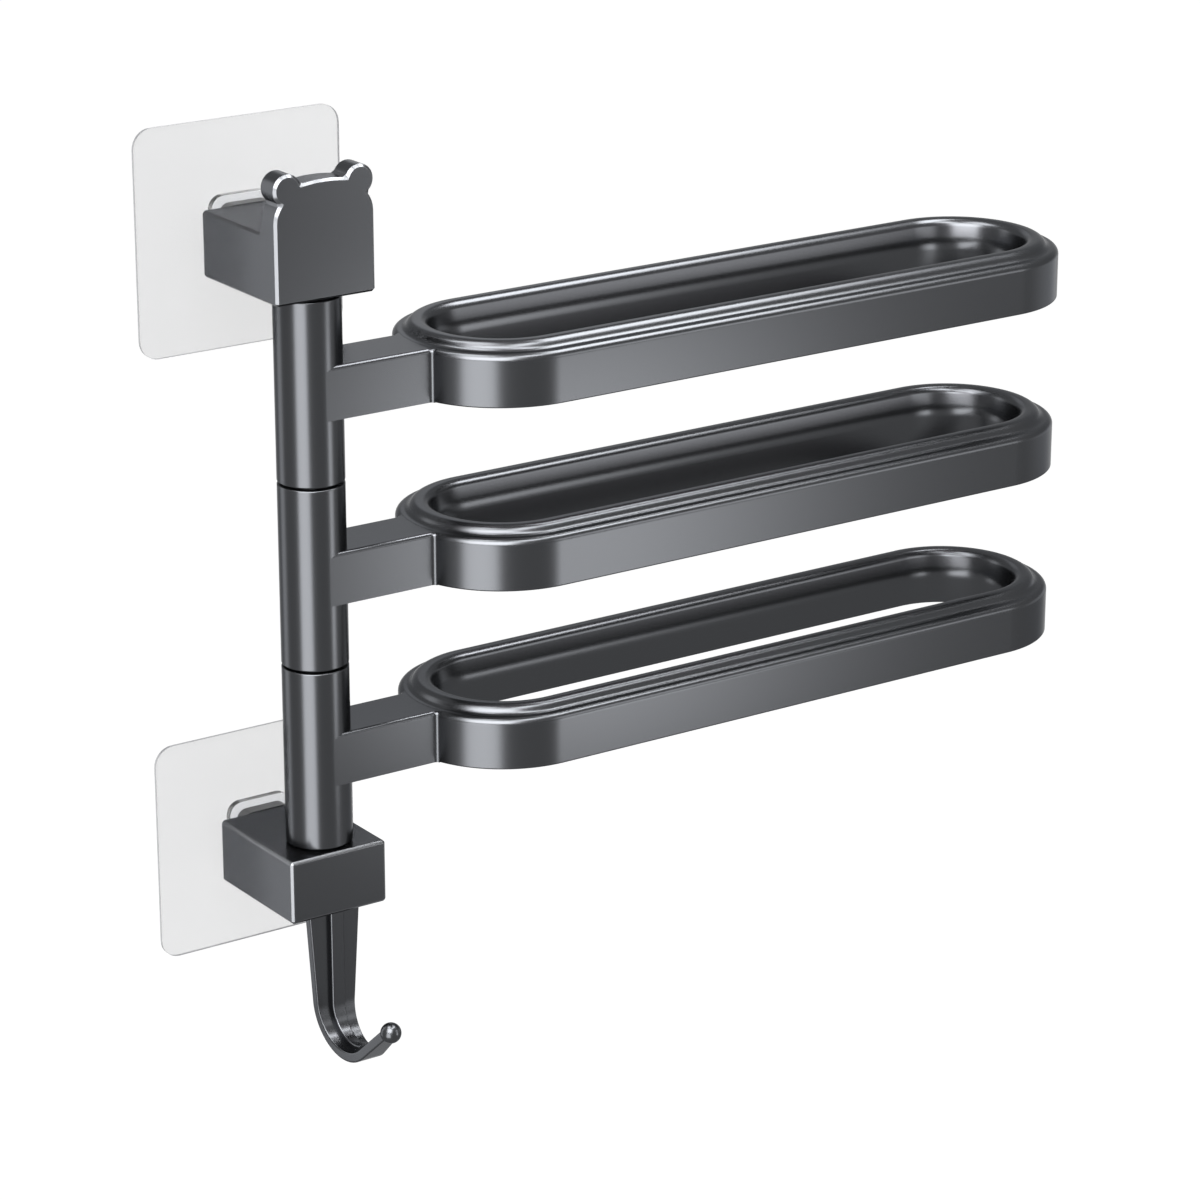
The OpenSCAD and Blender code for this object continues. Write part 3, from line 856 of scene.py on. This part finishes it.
def makePad(node, name):
    # the rim of the sheet is the cut edge; a hair of air parts the adhesive from the film before it
    low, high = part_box(node)
    middle = (low.z + high.z) / 2
    air = pad["airGap"] if "adhesive" in node else 0
    sheet = roundedPlate(name, (high.x, high.z - middle), middle, pad["corner"], high.y, low.y + air)
    sheet.data.materials.append(finishes[slotOfNode[node]])
    sheet.data.materials.append(filmEdgeShadePaint)
    startEditing(sheet)
    mesh = bmesh.from_edit_mesh(sheet.data)
    bpy.ops.mesh.select_all(action="DESELECT")
    for face in mesh.faces:
        face.select_set(abs(face.normal.y) > 0.9)  # the two broad faces
    bmesh.update_edit_mesh(sheet.data)
    bpy.ops.mesh.inset(thickness=pad["rim"])
    mesh = bmesh.from_edit_mesh(sheet.data)
    # the broad faces keep the clear layer; the rim faces get the painted grey edge shade
    for face in mesh.faces:
        face.material_index = 0 if face.select else 1
    bmesh.update_edit_mesh(sheet.data)
    stopEditing()
    return sheet


def makeHanger(node, name):
    low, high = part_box(node)
    middle = (low.z + high.z) / 2
    plateFront = high.y - hanger["plate"]
    plate = roundedPlate(name, (high.x, high.z - middle), middle, hanger["corner"], high.y, plateFront)
    applyModifier(plate, "BEVEL", width=hanger["edge"], segments=2, limit_method="ANGLE",
                  angle_limit=math.radians(sharpTurn))
    foot, top = middle - hanger["railFoot"], middle + hanger["railTop"]
    stemFront = plateFront - hanger["stem"]
    stem = addBox("stem", (-hanger["stemHalf"], stemFront - tiny, foot),
                  (hanger["stemHalf"], plateFront + tiny, top))
    rail = addBox("rail", (-hanger["railHalf"], low.y, foot), (hanger["railHalf"], stemFront, top))
    return joinPieces(name, [plate, stem, rail])


print("stage: pads and hangers")
for level in ("upper", "lower"):
    finishPiece(makePad(level + "_adhesive", level + "Adhesive"), "wall_rack", level + "_adhesive")
    finishPiece(makePad(level + "_pad", level + "Pad"), "wall_rack", level + "_pad")
    finishPiece(makeHanger(level + "_hanger", level + "Hanger"), "wall_rack", level + "_hanger")


# Camera at the photograph's viewing angle
shot = {
    "place": (-0.6926, -1.2252, 0.3499),
    "turn": 34.51,  # degrees, from facing the wall towards the arms
    "tilt": 19.02,  # degrees down
    "lens": 126.5,
    "near": 0.05,
    "far": 60,
}


def placeCamera():
    bpy.ops.object.camera_add(location=shot["place"],
                              rotation=(math.radians(90 - shot["tilt"]), 0, -math.radians(shot["turn"])))
    camera = bpy.context.object
    camera.data.lens = shot["lens"]
    camera.data.clip_start = shot["near"]
    camera.data.clip_end = shot["far"]
    bpy.context.scene.camera = camera


# Studio: a pale floor far below, a white surround, and panels that stand round the post.
# turn runs from straight in front of the wall towards the arms and rise runs up, both in degrees.
studio = {
    "floorDrop": 1.35,
    "floorSize": 40,
    "floorColour": "#ebebeb",
    "floorGlow": 0.35,
    "aim": (0.0, postY, -0.12),
    "skyLevel": 0.8,
    "lamp": {"turn": -35, "rise": 50, "distance": 1.6, "size": (1.2, 0.9), "power": 10},
    # level 1 is the white surround; fade is how wide a panel eases out on its left, right, low and
    # high side, as seen from the rack
    "panels": {
        "keyPanel": {"turn": -55, "rise": -14, "distance": 1.2, "size": (0.95, 1.15), "level": 11.5,
                     "fade": (0.12, 0.12, 0.2, 0.1)},
        "highKeyPanel": {"turn": -47, "rise": 41, "distance": 1.1, "size": (1.2, 1.1), "level": 25.0,
                         "fade": (0.15, 0.15, 0.1, 0.15)},
        "topPanel": {"turn": -110, "rise": 74, "distance": 1.1, "size": (0.7, 0.7), "level": 18.0,
                     "fade": (0.12, 0.12, 0.12, 0.12)},
        "highMidPanel": {"turn": 22, "rise": 64, "distance": 1.0, "size": (0.5, 0.32), "level": 24.0,
                         "fade": (0.08, 0.08, 0.07, 0.07)},
        "highRightPanel": {"turn": 83, "rise": 56, "distance": 1.0, "size": (0.66, 0.36), "level": 28.0,
                           "fade": (0.1, 0.14, 0.08, 0.08)},
        "lowRightPanel": {"place": (0.485, -0.5, 0.02), "size": (0.49, 0.24), "level": 6.4,
                          "fade": (0.15, 0.07, 0.03, 0.04)},
        "rightPanel": {"place": (0.4175, -0.5, -0.275), "size": (0.305, 0.29), "level": 10.8,
                       "fade": (0.24, 0.06, 0.06, 0.05)},
        "endPanel": {"turn": 84, "rise": -6, "distance": 1.0, "size": (1.0, 0.36), "level": 2.3,
                     "fade": (0.15, 0.55, 0.16, 0.05)},
        "backPanel": {"turn": 147, "rise": 24, "distance": 1.08, "size": (0.55, 0.38), "level": 2.5,
                      "fade": (0.15, 0.15, 0.15, 0.08)},
        "leftPanel": {"turn": -143, "rise": 0, "distance": 0.7, "size": (0.4, 1.2), "level": 4.2,
                      "fade": (0.12, 0.12, 0.1, 0.2)},
    },
}


def whenSeen(tree, plain, seen):
    # plain light on the object, and the seen shader for what the eye, gloss and glass look at
    path = addNode(tree, "ShaderNodeLightPath")
    looks = path.outputs["Is Camera Ray"]
    for ray in ("Is Glossy Ray", "Is Transmission Ray"):
        either = addNode(tree, "ShaderNodeMath", None, {0: looks, 1: path.outputs[ray]}, operation="MAXIMUM")
        looks = either.outputs[0]
    return addNode(tree, "ShaderNodeMixShader", None, {0: looks, 1: plain, 2: seen})


def lightWorld():
    world = bpy.data.worlds.new("whiteSurround")
    bpy.context.scene.world = world
    world.use_nodes = True
    tree = world.node_tree
    tree.nodes.clear()
    sky = addNode(tree, "ShaderNodeBackground", {"Color": (1, 1, 1, 1), "Strength": studio["skyLevel"]})
    white = addNode(tree, "ShaderNodeBackground", {"Color": (1, 1, 1, 1), "Strength": 1.0})
    mixed = whenSeen(tree, sky.outputs[0], white.outputs[0])
    addNode(tree, "ShaderNodeOutputWorld", None, {"Surface": mixed.outputs[0]})


def layFloor():
    # matt white paper that keeps the rack's shadow and looks as white as the surround
    height = topBracket[0].z - studio["floorDrop"]
    deselectAll()
    bpy.ops.mesh.primitive_plane_add(size=studio["floorSize"], location=(0, 0, height))
    floor = bpy.context.object
    floor.name = "paleFloor"
    bpy.ops.object.transform_apply(location=True)
    material, tree = bareMaterial("mattWhitePaper")
    paper = addNode(tree, "ShaderNodeBsdfDiffuse", {"Color": linearColour(studio["floorColour"])})
    glow = addNode(tree, "ShaderNodeEmission", {"Strength": studio["floorGlow"]})
    lifted = addNode(tree, "ShaderNodeAddShader", None, {0: paper.outputs[0], 1: glow.outputs[0]})
    mixed = whenSeen(tree, paper.outputs[0], lifted.outputs[0])
    addNode(tree, "ShaderNodeOutputMaterial", None, {"Surface": mixed.outputs[0]})
    floor.data.materials.append(material)


def standAway(facts):
    turn, rise = math.radians(facts["turn"]), math.radians(facts["rise"])
    away = Vector((math.sin(turn) * math.cos(rise), -math.cos(turn) * math.cos(rise), math.sin(rise)))
    return Vector(studio["aim"]) + facts["distance"] * away, away


def glowOfPanel(name, facts):
    # brightest in the middle, easing out to the level of the white surround at its four sides
    material, tree = bareMaterial(name)
    where = addNode(tree, "ShaderNodeTexCoord")
    apart = addNode(tree, "ShaderNodeSeparateXYZ", None, {"Vector": where.outputs["Object"]})
    share = None
    for side, (axis, sign) in enumerate((("X", -1), ("X", 1), ("Y", -1), ("Y", 1))):
        edge = sign * facts["size"][side // 2] / 2
        full = edge - sign * facts["fade"][side]
        ease = addNode(tree, "ShaderNodeMapRange", {"From Min": edge, "From Max": full},
                       {"Value": apart.outputs[axis]}, interpolation_type="SMOOTHSTEP")
        if share:
            share = addNode(tree, "ShaderNodeMath", None, {0: share.outputs[0], 1: ease.outputs[0]},
                            operation="MULTIPLY")
        else:
            share = ease
    shade = addNode(tree, "ShaderNodeMapRange", {"To Min": 1.0 / facts["level"]}, {"Value": share.outputs[0]})
    glow = addNode(tree, "ShaderNodeEmission", {"Strength": facts["level"]}, {"Color": shade.outputs[0]})
    addNode(tree, "ShaderNodeOutputMaterial", None, {"Surface": glow.outputs[0]})
    return material


def standPanel(name, facts):
    # a soft box that only the gloss of the rack sees; one with a place of its own stands parallel to the wall
    if "place" in facts:
        place, away = Vector(facts["place"]), Vector((0, -1, 0))
    else:
        place, away = standAway(facts)
    deselectAll()
    bpy.ops.mesh.primitive_plane_add(size=1, location=place)
    panel = bpy.context.object
    panel.name = name
    panel.scale = (*facts["size"], 1)
    bpy.ops.object.transform_apply(location=False, rotation=False, scale=True)
    panel.rotation_euler = (-away).to_track_quat("Z", "Y").to_euler()
    panel.data.materials.append(glowOfPanel(name, facts))
    panel.visible_camera = False
    panel.visible_transmission = False
    panel.visible_diffuse = False
    panel.visible_shadow = False


def hangLamp(facts):
    place, away = standAway(facts)
    bpy.ops.object.light_add(type="AREA", location=place)
    lamp = bpy.context.object
    lamp.name = "softLamp"
    lamp.rotation_euler = away.to_track_quat("Z", "Y").to_euler()
    lamp.data.shape = "RECTANGLE"
    lamp.data.size, lamp.data.size_y = facts["size"]
    lamp.data.energy = facts["power"]
    lamp.visible_camera = False
    lamp.visible_glossy = False


print("stage: studio")
placeCamera()
lightWorld()
layFloor()
hangLamp(studio["lamp"])
for panelName, panelFacts in studio["panels"].items():
    standPanel(panelName, panelFacts)
bpy.context.scene.view_settings.view_transform = "Standard"

print("stage: done")
